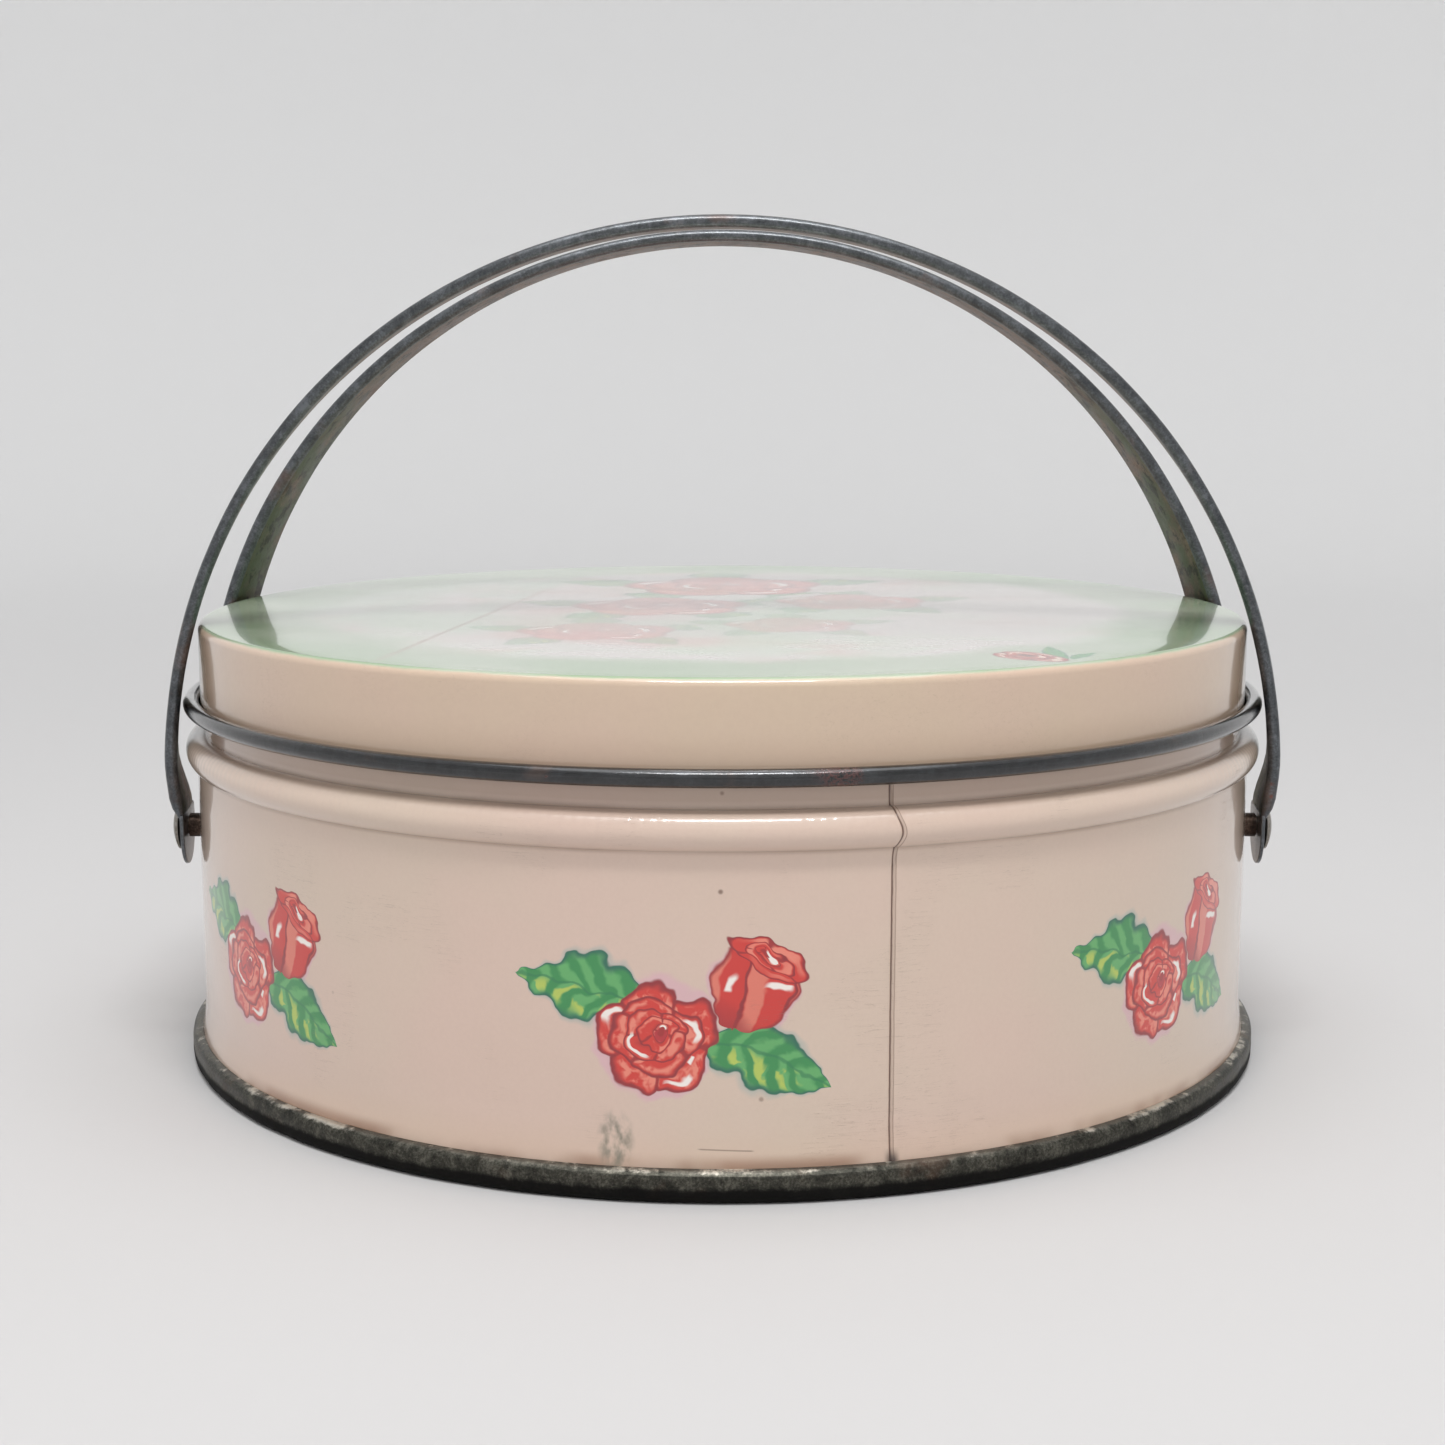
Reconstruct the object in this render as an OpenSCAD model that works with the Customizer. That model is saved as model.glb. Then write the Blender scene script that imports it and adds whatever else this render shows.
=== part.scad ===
// Round lithographed tin with a slip lid and two hemmed strap handles.
// Origin: centre of the base, +Z up, handles hinge about lines parallel to X.

/* [Body] */
// Outside radius of the straight body wall
wall_r = 97.6; // [97.2:0.1:97.9]
// Thickness of the tinplate in the body, lid and base
sheet = 0.45; // [0.35:0.05:0.5]
// Height of the middle of the rolled bead
bead_z = 57.0; // [56.5:0.1:57.5]
// Radius of the bead's round
bead_round = 3.2; // [3.0:0.1:3.3]
// How far the bead stands proud of the wall
bead_proud = 2.0; // [1.8:0.1:2.2]
// Outside radius of the neck that the lid slips over
neck_r = 96.0; // [95.7:0.1:96.1]
// Height of the top of the neck
neck_top = 78.2; // [77:0.1:78.4]
// Radius of the inward curl at the top of the neck
neck_curl = 1.0; // [0.8:0.1:1.2]
// Radius of the wall where it enters the bottom seam
foot_r = 98.3; // [98.1:0.1:98.4]
// Direction of the side seam, in degrees from the front towards +X
seam_turn = 15.3; // [0:0.1:60]
// Width of the locked side seam on the inside
seam_w = 5.0; // [3:0.5:8]

/* [Base] */
// Height of the rolled bottom seam
rim_h = 5.2; // [4.8:0.1:5.4]
// Outside radius of the bottom seam
rim_r = 100.2; // [99.8:0.1:100.4]
// Rounding of the seam's outer edges
rim_round = 1.4; // [1.0:0.1:1.5]
// Height of the recessed base panel
panel_z = 3.6; // [3.2:0.1:4.0]
// Depth of the stiffening ring pressed into the panel
panel_ring = 0.6; // [0.3:0.1:0.8]

/* [Lid] */
// Height of the top of the lid
lid_top = 80.0; // [79.8:0.1:81]
// Outside radius of the lid skirt
lid_r = 96.8; // [96.7:0.05:96.85]
// Inside radius of the lid's top corner
lid_corner = 1.0; // [0.6:0.1:1.2]
// Height of the middle of the curled hem on the skirt
curl_z = 65.3; // [65:0.1:65.6]
// Radius of the curled hem
curl_round = 1.45; // [1.3:0.05:1.5]
// Outside radius of the curled hem
curl_r = 99.85; // [99.6:0.05:99.9]

/* [Handles] */
// Distance of each handle's hinge line from the middle
hinge_y = 22.2; // [21.8:0.1:22.6]
// Height of the hinge lines
hinge_z = 43.0; // [42:0.1:44]
// Outward lean of each handle as it stands against the lid, in degrees
lean = 1.7; // [1.7:0.1:3]
// Width of the handle strap over its hems
strap_w = 14.0; // [12:0.5:14.5]
// Thickness of the strap
strap_t = 0.5; // [0.4:0.05:0.6]
// Radius of the rolled hem along each edge
hem_r = 1.12; // [1.0:0.02:1.2]
// Inside radius of the arch
arch_r = 98.6; // [98.5:0.1:99]
// Height of the arch's centre above the hinge line
arch_rise = 8.5; // [8:0.1:9]
// Flattening of the arch in height
arch_squash = 0.989; // [0.98:0.001:1]
// Twist of the strap at the foot of the arch, in degrees
leg_twist = 12.5; // [10:0.5:13]
// How fast the twist fades towards the top
twist_fade = 3.5; // [2:0.5:4]

/* [Lugs and rivets] */
// Distance of each lug's middle from the centre plane
lug_x = 97.3; // [97.2:0.05:97.5]
// Thickness of the lug
lug_t = 0.7; // [0.6:0.05:0.8]
// Tilt of the lug towards the wall, in degrees
lug_tilt = 5; // [3:1:6]
// Height above the hinge line where the hems end
hem_end = 2.6; // [2.5:0.1:3.5]
// Radius of the rivet shank
shank_r = 1.6; // [1.4:0.05:1.8]
// Running clearance between the shank and the lug's bore
shank_gap = 0.06; // [0.02:0.01:0.1]
// Radius of the rivet head
head_r = 4.35; // [4:0.05:4.4]
// Height of the rivet head
head_h = 1.5; // [1.2:0.1:1.6]
// Outside radius of the spacer sleeve
spacer_r = 2.15; // [2.1:0.05:2.4]
// Outside radius of the backing washer
washer_r = 4.5; // [4:0.1:5]
// Thickness of the backing washer
washer_t = 0.6; // [0.5:0.1:0.8]
// Radius of the clenched tail
tail_r = 2.6; // [2.4:0.1:3]

/* [Hidden] */

$fn = 96;
CREAM = "#d3bdb0";
MINT = "#cfdcc4";
STEEL = "#6b6a68";
PLATE = "#8c8f92";

flare_top = 10;          // height where the wall starts to flare into its foot
foot_z = 0.9;            // lower edge of the wall inside the seam
seam_gap = 0.05;         // clearance of the wall in the seam's groove
groove_z = 0.7;          // floor of the seam's groove
hole_r = shank_r + 0.05; // rivet hole in the wall, spacer and washer
head_play = 0.08;        // least gap between lug and rivet head or spacer
dome_h = 1.1;            // height of the domed part of the rivet head
tail_l = 1.1;            // length of the clenched tail
flush = 0.02;            // gap between the wall and what is cut to it
arch_steps = 44;         // stations along the arch
leg_steps = 8;           // stations along each bent leg
leg_top = 14;            // height above the hinge where the leg joins the arch
tongue = 0.5;            // overlap of the lug and the strap, and the tongue's side steps
hem_steps = 8;           // sides round each hem

turn = asin(hinge_y / wall_r);                      // bearing of a rivet from the X axis
wall_in = wall_r - sheet;                           // inside radius of the wall
washer_face = wall_in * cos(asin(washer_r / wall_in)) - flush;
tail_face = washer_face - washer_t;
tail_x = (tail_face - hinge_y * sin(turn)) / cos(turn);
head_x = lug_x + lug_t / 2 + head_r * tan(lug_tilt) + head_play;
spacer_end = lug_x - lug_t / 2 - spacer_r * tan(lug_tilt) - head_play;
strap_in = lug_x - strap_t / 2;                     // strap's inner face where it meets the lug
bead_x = wall_r + bead_proud - bead_round;          // centre of the bead's round

// Points along an arc, from angle a0 to a1
function arc(c, r, a0, a1, n) = [for (i = [0:n]) let (a = a0 + (a1 - a0) * i / n)
    [c[0] + r * cos(a), c[1] + r * sin(a)]];
function unit(v) = v / norm(v);
function left_of(v) = [-v[1], v[0]];
function reversed(list) = [for (i = [len(list) - 1:-1:0]) list[i]];
// Path shifted to its left by t, mitred at every corner
function shifted(p, t) = [for (i = [0:len(p) - 1]) let (
    last = len(p) - 1,
    before = left_of(unit(p[max(i, 1)] - p[max(i, 1) - 1])),
    after = left_of(unit(p[min(i, last - 1) + 1] - p[min(i, last - 1)])),
    mitre = unit(before + after))
    p[i] + mitre * t / (mitre * before)];
// A strip of thickness t on the left of a path, turned about the Z axis
module spun_sheet(path, t) {
    rotate_extrude() polygon(concat(path, reversed(shifted(path, t))));
}
function smooth(x) = let (c = min(1, max(0, x))) c * c * (3 - 2 * c);

// ---- body ----
function body_path() = concat(
    [[foot_r, foot_z], [foot_r, rim_h + 0.2],
     [(foot_r + wall_r) / 2, (rim_h + flare_top) / 2 - 0.6], [wall_r, flare_top]],
    arc([bead_x, bead_z], bead_round, -acos((wall_r - bead_x) / bead_round),
        acos((neck_r - bead_x) / bead_round), 18),
    arc([neck_r - neck_curl, neck_top - neck_curl], neck_curl, 0, 265, 12));

// Round bar parallel to X through both ends of a hinge line
module hinge_bar(r, y) {
    translate([0, y, hinge_z]) rotate([0, 90, 0]) cylinder(r = r, h = 2.2 * wall_r, center = true);
}

module body_shell() {
    color(CREAM) difference() {
        union() {
            spun_sheet(body_path(), sheet);
            rotate([0, 0, seam_turn - 90]) intersection() {
                translate([0, 0, flare_top]) difference() {
                    cylinder(r = wall_in + 0.1, h = bead_z - flare_top - 4, $fn = 180);
                    translate([0, 0, -1]) cylinder(r = wall_in - sheet, h = bead_z, $fn = 180);
                }
                translate([wall_in - 5, 0, 0]) cube([10, seam_w, bead_z]);
            }
        }
        for (y = [-hinge_y, hinge_y]) hinge_bar(hole_r, y);
    }
}

// ---- base ----
module bottom_end() {
    lip = foot_r + seam_gap;
    chuck = foot_r - sheet - seam_gap;
    color(PLATE) rotate_extrude() union() {
        panel = [[0, panel_z], [76, panel_z], [77.5, panel_z - panel_ring],
                 [88, panel_z - panel_ring], [89.5, panel_z], [chuck - 0.3, panel_z]];
        polygon(concat(panel, reversed(shifted(panel, sheet))));
        polygon(concat(
            [[chuck - 0.6, panel_z + sheet], [chuck - 0.6, 0.5], [chuck - 0.1, 0]],
            arc([rim_r - rim_round, rim_round], rim_round, -90, 0, 8),
            arc([rim_r - rim_round, rim_h - rim_round], rim_round, 0, 90, 8),
            [[lip, rim_h], [lip, groove_z], [chuck, groove_z], [chuck, panel_z + sheet]]));
    }
}

// ---- lid ----
module lid() {
    inside = lid_r - sheet;
    under = lid_top - sheet;
    color(MINT) spun_sheet(concat(
        [[0, under]],
        arc([inside - lid_corner, under - lid_corner], lid_corner, 90, 0, 6),
        arc([inside + curl_round, curl_z], curl_round, 180, 270, 6),
        arc([curl_r - curl_round, curl_z], curl_round, 270, 520, 18)), sheet);
}

// ---- handles ----
// The strap's middle line on its inner face, at angle f from the top of the arch
function arch_z(f) = arch_rise + arch_r * arch_squash * cos(f);
function leg_share(f) = smooth((arch_z(f) - hem_end) / (leg_top - hem_end));
function strap_point(f) = let (k = leg_share(f))
    [sign(f) * (strap_in + (arch_r * abs(sin(f)) - strap_in) * k), arch_z(f)];
function strap_twist(f) = lug_tilt
    + (leg_twist * pow(abs(sin(f)), twist_fade) - lug_tilt) * leg_share(f);
// Hemmed strap in section: s across the strap, n outwards
hem_s = strap_w / 2 - hem_r;
hem_last = 180 - asin((strap_t - hem_r) / hem_r);
right_hem = arc([hem_s, hem_r], hem_r, -90, hem_last, hem_steps);
strap_section = concat(right_hem, reversed([for (p = right_hem) [-p[0], p[1]]]));
// One ring of the sweep
function strap_ring(f) = let (
    p = strap_point(f),
    along = unit(strap_point(f + 0.05) - strap_point(f - 0.05)),
    out = left_of(along),
    t = strap_twist(f))
    [for (q = strap_section) let (
        outward = q[0] * sin(t) + q[1] * cos(t),
        across = q[0] * cos(t) - q[1] * sin(t))
        [p[0] + out[0] * outward, across, p[1] + out[1] * outward]];
leg_f = acos((leg_top - arch_rise) / (arch_r * arch_squash));
end_f = acos((hem_end - arch_rise) / (arch_r * arch_squash));
strap_stations = concat(
    [for (i = [0:leg_steps - 1]) -end_f + (end_f - leg_f) * i / leg_steps],
    [for (i = [0:arch_steps]) -leg_f + 2 * leg_f * i / arch_steps],
    [for (i = [1:leg_steps]) leg_f + (end_f - leg_f) * i / leg_steps]);

// The end of the sweep in three convex pieces: a hem, the sheet and a hem
function strap_end(first, n) = [
    [for (j = [0:hem_steps]) first + j],
    [first, first + hem_steps, first + hem_steps + 1, first + n - 1],
    [for (j = [hem_steps + 1:n - 1]) first + j]];

module strap() {
    rings = [for (f = strap_stations) strap_ring(f)];
    n = len(strap_section);
    last = len(rings) - 1;
    polyhedron(
        points = [for (ring = rings) each ring],
        faces = concat(
            strap_end(0, n),
            [for (i = [0:last - 1], j = [0:n - 1]) let (k = (j + 1) % n)
                [i * n + j, (i + 1) * n + j, (i + 1) * n + k]],
            [for (i = [0:last - 1], j = [0:n - 1]) let (k = (j + 1) % n)
                [i * n + j, (i + 1) * n + k, i * n + k]],
            [for (face = strap_end(last * n, n)) reversed(face)]));
}

// The lug at the +X end, about the hinge line: a half round, a short neck and a
// narrower tongue that the end of the strap is buried in
module lug() {
    half = strap_w / 2;
    translate([lug_x, 0, 0]) rotate([0, 0, -lug_tilt]) rotate([0, 90, 0])
        linear_extrude(lug_t, center = true) union() {
            intersection() {
                circle(r = half);
                translate([0, -half]) square([half, strap_w]);
            }
            translate([-hem_end + tongue, -half]) square([hem_end - tongue, strap_w]);
            translate([-hem_end - tongue, -half + tongue]) square([2 * tongue, strap_w - 2 * tongue]);
        }
}

// Whole handle standing upright over its hinge line
module handle() {
    color(STEEL) difference() {
        union() {
            strap();
            lug();
            mirror([1, 0, 0]) lug();
        }
        rotate([0, 90, 0]) cylinder(r = shank_r + shank_gap, h = 2.2 * lug_x, center = true);
    }
}

module front_handle() {
    translate([0, -hinge_y, hinge_z]) rotate([lean, 0, 0]) handle();
}

module back_handle() {
    rotate([0, 0, 180]) front_handle();
}

// ---- fasteners at the front right; the others are turned or mirrored copies ----
module rivet() {
    dome_r = (head_r * head_r + dome_h * dome_h) / (2 * dome_h);
    dome_a = asin(head_r / dome_r);
    edge = head_x + head_h - dome_h;
    color(STEEL) union() {
        translate([0, -hinge_y, hinge_z]) rotate([0, 90, 0]) rotate_extrude() polygon(concat(
            [[0, tail_x - tail_l], [shank_r, tail_x - tail_l], [shank_r, head_x], [head_r, head_x]],
            arc([0, edge + dome_h - dome_r], dome_r, 90 - dome_a, 90, 8)));
        intersection() {
            translate([tail_x - tail_l, -hinge_y, hinge_z]) rotate([0, 90, 0])
                cylinder(r = tail_r, h = 3);
            rotate([0, 0, -turn]) translate([tail_face - 20, -20, hinge_z - 20])
                cube([20, 40, 40]);
        }
    }
}

module spacer() {
    color(STEEL) difference() {
        translate([tail_x, -hinge_y, hinge_z]) rotate([0, 90, 0])
            cylinder(r = spacer_r, h = spacer_end - tail_x);
        hinge_bar(hole_r, -hinge_y);
        cylinder(r = wall_r + flush, h = bead_z, $fn = 180);
    }
}

module washer() {
    color(PLATE) difference() {
        rotate([0, 0, -turn]) translate([tail_face, 0, hinge_z]) rotate([0, 90, 0])
            cylinder(r = washer_r, h = washer_t);
        hinge_bar(hole_r, -hinge_y);
    }
}

module front_right_rivet() { rivet(); }
module front_left_rivet() { mirror([1, 0, 0]) rivet(); }
module back_right_rivet() { mirror([0, 1, 0]) rivet(); }
module back_left_rivet() { rotate([0, 0, 180]) rivet(); }
module front_right_spacer() { spacer(); }
module front_left_spacer() { mirror([1, 0, 0]) spacer(); }
module back_right_spacer() { mirror([0, 1, 0]) spacer(); }
module back_left_spacer() { rotate([0, 0, 180]) spacer(); }
module front_right_washer() { washer(); }
module front_left_washer() { mirror([1, 0, 0]) washer(); }
module back_right_washer() { mirror([0, 1, 0]) washer(); }
module back_left_washer() { rotate([0, 0, 180]) washer(); }

body_shell();
bottom_end();
lid();
front_handle();
back_handle();
front_left_rivet();
front_right_rivet();
back_left_rivet();
back_right_rivet();
front_left_spacer();
front_right_spacer();
back_left_spacer();
back_right_spacer();
front_left_washer();
front_right_washer();
back_left_washer();
back_right_washer();
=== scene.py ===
"""Looks of a round lithographed tin with a lift-off lid and two arched strap handles."""

import math

import bmesh
import bpy
from mathutils import Matrix, Vector, noise


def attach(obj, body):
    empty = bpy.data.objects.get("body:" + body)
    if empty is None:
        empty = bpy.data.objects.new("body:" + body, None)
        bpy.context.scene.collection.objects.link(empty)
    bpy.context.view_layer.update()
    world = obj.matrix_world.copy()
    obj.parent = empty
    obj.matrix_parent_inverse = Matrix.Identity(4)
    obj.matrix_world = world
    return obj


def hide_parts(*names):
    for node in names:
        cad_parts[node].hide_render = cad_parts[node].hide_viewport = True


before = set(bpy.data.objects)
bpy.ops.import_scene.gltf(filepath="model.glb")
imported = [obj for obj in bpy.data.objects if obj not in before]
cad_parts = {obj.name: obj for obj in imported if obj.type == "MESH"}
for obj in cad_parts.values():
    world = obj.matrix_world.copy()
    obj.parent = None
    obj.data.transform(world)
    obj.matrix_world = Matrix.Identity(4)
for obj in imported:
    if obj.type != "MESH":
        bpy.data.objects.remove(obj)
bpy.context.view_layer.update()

MM = 0.001
SHEET = 0.45          # thickness of the tinplate
WALL_R = 97.6         # outside radius of the wall
BEAD_Z = 57.0         # height of the bead's middle
SEAM_TURN = 15.3      # bearing of the side seam, degrees to the right of the front
SEAM_CLIMB, SEAM_CLIMB_Z, SEAM_CLIMB_H = 0.95, 56.6, 2.3   # its swerve over the bead
HINGE_Y, HINGE_Z = 22.2, 43.0
LEAN = 1.7            # lean of each handle, degrees
SMOOTH_ANGLE = math.radians(38)


# ---------------------------------------------------------------- outlines

def arc(centre, r, a0, a1, n):
    return [(centre[0] + r * math.cos(math.radians(a0 + (a1 - a0) * i / n)),
             centre[1] + r * math.sin(math.radians(a0 + (a1 - a0) * i / n)))
            for i in range(n + 1)]


def shifted(path, t):
    """The path moved to its left by t, mitred at every corner."""
    pts = [Vector(p) for p in path]
    out = []
    for i, p in enumerate(pts):
        before = (pts[max(i, 1)] - pts[max(i, 1) - 1]).normalized()
        after = (pts[min(i, len(pts) - 2) + 1] - pts[min(i, len(pts) - 2)]).normalized()
        before, after = Vector((-before.y, before.x)), Vector((-after.y, after.x))
        mitre = (before + after).normalized()
        out.append(tuple(p + mitre * t / mitre.dot(before)))
    return out


def filled(path, step):
    """The path with its long straight runs cut into steps."""
    out = [path[0]]
    for a, b in zip(path, path[1:]):
        n = max(1, math.ceil(math.dist(a, b) / step))
        out += [(a[0] + (b[0] - a[0]) * i / n, a[1] + (b[1] - a[1]) * i / n)
                for i in range(1, n + 1)]
    return out


def smooth(x):
    x = min(1.0, max(0.0, x))
    return x * x * (3 - 2 * x)


def seam_shift(z):
    """How far the side seam wanders sideways where it climbs over the bead, mm."""
    return SEAM_CLIMB * math.exp(-((z - SEAM_CLIMB_Z) / SEAM_CLIMB_H) ** 2)


# ---------------------------------------------------------------- meshes

def finished(name, bm, materials):
    """Makes the piece from a bmesh in millimetres."""
    bmesh.ops.recalc_face_normals(bm, faces=bm.faces)
    bm.transform(Matrix.Scale(MM, 4))
    mesh = bpy.data.meshes.new(name)
    bm.to_mesh(mesh)
    bm.free()
    for p in mesh.polygons:
        p.use_smooth = True
    mesh.set_sharp_from_angle(angle=SMOOTH_ANGLE)
    for m in materials:
        mesh.materials.append(m)
    piece = bpy.data.objects.new(name, mesh)
    bpy.context.scene.collection.objects.link(piece)
    return piece


def turned(bm, outline, turns, slots, shape=None):
    """Turns an outline [(r, z)] about the Z axis; slots has a material for each run of it.

    shape may move a point: it takes and returns radius, bearing in degrees, and height.
    """
    rings = []
    for r, z in outline:
        if r < 1e-6:
            rings.append([bm.verts.new((0, 0, z))])
            continue
        ring = []
        for t in turns:
            rr, tt, zz = shape(r, t, z) if shape else (r, t, z)
            a = math.radians(tt)
            ring.append(bm.verts.new((rr * math.sin(a), -rr * math.cos(a), zz)))
        rings.append(ring)
    n = len(turns)
    for i in range(len(rings) - 1):
        a, b = rings[i], rings[i + 1]
        for j in range(n):
            k = (j + 1) % n
            if len(a) == 1:
                f = bm.faces.new((a[0], b[j], b[k]))
            elif len(b) == 1:
                f = bm.faces.new((a[j], b[0], a[k]))
            else:
                f = bm.faces.new((a[j], b[j], b[k], a[k]))
            f.material_index = slots[i]
    return rings


def joined(bm, first, last, slot):
    """Faces between two rings."""
    n = len(first)
    for j in range(n):
        k = (j + 1) % n
        bm.faces.new((first[j], last[j], last[k], first[k])).material_index = slot


# ---------------------------------------------------------------- materials

def colour(code):
    """sRGB hex to the linear colour that a shader takes."""
    part = [int(code[i:i + 2], 16) / 255 for i in (0, 2, 4)]
    linear = [c / 12.92 if c <= 0.04045 else ((c + 0.055) / 1.055) ** 2.4 for c in part]
    return tuple(linear) + (1,)


class Field:
    """A number that varies over a surface; Python's operators make Math nodes of it."""

    def __init__(self, tree, socket):
        self.tree, self.socket = tree, socket

    def op(self, kind, *rest, clamp=False):
        return self.tree.math(kind, self, *rest, clamp=clamp)

    def __add__(self, o): return self.op("ADD", o)
    def __radd__(self, o): return self.op("ADD", o)
    def __sub__(self, o): return self.op("SUBTRACT", o)
    def __rsub__(self, o): return self.tree.math("SUBTRACT", o, self)
    def __mul__(self, o): return self.op("MULTIPLY", o)
    def __rmul__(self, o): return self.op("MULTIPLY", o)
    def __truediv__(self, o): return self.op("DIVIDE", o)
    def __neg__(self): return self.op("MULTIPLY", -1.0)
    def __pow__(self, o): return self.op("POWER", o)
    def abs(self): return self.op("ABSOLUTE")
    def sin(self): return self.op("SINE")
    def cos(self): return self.op("COSINE")
    def sqrt(self): return self.op("SQRT")
    def min(self, o): return self.op("MINIMUM", o)
    def max(self, o): return self.op("MAXIMUM", o)

    def step(self, lo, hi):
        """0 at lo, 1 at hi, smooth between; lo may be above hi."""
        n = self.tree.node("MapRange", interpolation_type="SMOOTHSTEP")
        self.tree.put(n.inputs[0], self)
        for i, v in enumerate((lo, hi, 0.0, 1.0)):
            self.tree.put(n.inputs[i + 1], v)
        return Field(self.tree, n.outputs[0])

    def band(self, lo, hi, soft):
        return self.step(lo - soft, lo + soft) * self.step(hi + soft, hi - soft)


class Shader:
    """One node material, drawn in millimetres of the object's own frame."""

    def __init__(self, name):
        self.material = bpy.data.materials.new(name)
        self.material.use_nodes = True
        self.nodes = self.material.node_tree.nodes
        self.links = self.material.node_tree.links
        self.nodes.clear()
        where = self.node("TexCoord").outputs["Object"]
        self.where = self.vector("SCALE", where, scale=1 / MM)
        apart = self.node("SeparateXYZ")
        self.put(apart.inputs[0], self.where)
        self.x, self.y, self.z = (Field(self, s) for s in apart.outputs)

    def node(self, kind, **props):
        n = self.nodes.new("ShaderNode" + kind)
        for k, v in props.items():
            setattr(n, k, v)
        return n

    def put(self, socket, value):
        if isinstance(value, Field):
            value = value.socket
        if isinstance(value, bpy.types.NodeSocket):
            self.links.new(value, socket)
        else:
            socket.default_value = value

    def math(self, kind, *args, clamp=False):
        n = self.node("Math", operation=kind, use_clamp=clamp)
        for i, a in enumerate(args):
            self.put(n.inputs[i], a)
        return Field(self, n.outputs[0])

    def vector(self, kind, *args, scale=None):
        n = self.node("VectorMath", operation=kind)
        for i, a in enumerate(args):
            self.put(n.inputs[i], a)
        if scale is not None:
            self.put(n.inputs["Scale"], scale)
        return n.outputs["Value" if kind == "DISTANCE" else "Vector"]

    def point(self, x, y, z=0.0):
        n = self.node("CombineXYZ")
        for i, a in enumerate((x, y, z)):
            self.put(n.inputs[i], a)
        return n.outputs[0]

    def noise(self, at, scale, detail=2.0, rough=0.5, distort=0.0):
        n = self.node("TexNoise")
        self.put(n.inputs["Vector"], at)
        for key, v in (("Scale", scale), ("Detail", detail), ("Roughness", rough),
                       ("Distortion", distort)):
            self.put(n.inputs[key], v)
        return Field(self, n.outputs[0])

    def cells(self, at, scale):
        """Distance to the nearest seeded point, and a random number for it."""
        n = self.node("TexVoronoi")
        self.put(n.inputs["Vector"], at)
        self.put(n.inputs["Scale"], scale)
        apart = self.node("SeparateColor")
        self.put(apart.inputs[0], n.outputs["Color"])
        return Field(self, n.outputs["Distance"]), Field(self, apart.outputs[0])

    def mix(self, share, a, b):
        """Colour a turning into b."""
        n = self.node("Mix", data_type="RGBA")
        self.put(n.inputs[0], share)
        self.put(n.inputs[6], colour(a) if isinstance(a, str) else a)
        self.put(n.inputs[7], colour(b) if isinstance(b, str) else b)
        return n.outputs[2]

    def ramp(self, x, stops):
        """Colours along x, each stop (place, hex)."""
        n = self.node("ValToRGB")
        self.put(n.inputs[0], x)
        e = n.color_ramp.elements
        while len(e) < len(stops):
            e.new(0.5)
        for item, (place, code) in zip(e, stops):
            item.position, item.color = place, colour(code)
        return n.outputs[0]

    def bump(self, height, depth, under=None):
        """Normal from a height in millimetres."""
        n = self.node("Bump")
        n.inputs["Strength"].default_value = 1.0
        n.inputs["Distance"].default_value = depth * MM
        self.put(n.inputs["Height"], height)
        if under is not None:
            self.put(n.inputs["Normal"], under)
        return n.outputs[0]

    def finish(self, base, rough, normal=None, metal=0.0, coat=0.0, coat_rough=0.05,
               level=0.5):
        n = self.node("BsdfPrincipled")
        self.put(n.inputs["Base Color"], base)
        self.put(n.inputs["Roughness"], rough)
        self.put(n.inputs["Metallic"], metal)
        n.inputs["Specular IOR Level"].default_value = level
        n.inputs["IOR"].default_value = 1.5
        n.inputs["Coat Weight"].default_value = coat
        n.inputs["Coat Roughness"].default_value = coat_rough
        if normal is not None:
            self.put(n.inputs["Normal"], normal)
            if coat:
                self.put(n.inputs["Coat Normal"], normal)
        out = self.node("OutputMaterial")
        self.links.new(n.outputs[0], out.inputs[0])
        return self.material


# ---------------------------------------------------------------- printed flowers

def leaf(s, under, x, y, foot, turn, length, width, bend=0.0, sun=1):
    """A serrated leaf from its foot, turned anticlockwise from +x.

    sun is 1 or -1, the side of the midrib that is yellow.
    """
    a = math.radians(turn)
    along = (x - foot[0]) * (math.cos(a) / length)
    along = along + (y - foot[1]) * (math.sin(a) / length)
    across = (y - foot[1]) * math.cos(a) - (x - foot[0]) * math.sin(a)
    if bend:
        across = across - (along * (1.0 - along)) * bend
    side = across.abs()
    body = (along * (1.0 - along)).max(0.0) * 4.0
    teeth = (along * 31.0).sin() * 0.07 + (along * 13.0 + 1.0).sin() * 0.07
    teeth = teeth + 1.12 - along * 0.3
    edge = side / ((body ** 1.05) * width * teeth + 0.02)
    inside = along.band(0.0, 1.0, 0.012)
    under = s.mix(edge.step(1.3, 0.95) * inside * 0.45, under, "7FA7A6")
    grain = s.noise(s.point(x, y, 3.0), 0.42, 2.0)
    vein = ((along * 34.0 - side * (6.5 / width) + (grain - 0.5) * 4.0).sin() + 1.0) * 0.5
    blade = s.mix(vein.step(0.2, 0.9), "2C8A48", "5CAA62")
    warm = (across * sun).step(-0.3, 1.4) * grain.step(0.46, 0.56) * vein.step(0.3, 0.8)
    blade = s.mix(warm * edge.step(0.92, 0.6) * 0.85, blade, "BECB55")
    blade = s.mix(side.step(0.34, 0.1) * 0.7, blade, "1C7848")
    blade = s.mix(edge.step(0.74, 0.96), blade, "17664F")
    return s.mix(edge.step(1.03, 0.97) * inside, under, blade)


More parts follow.
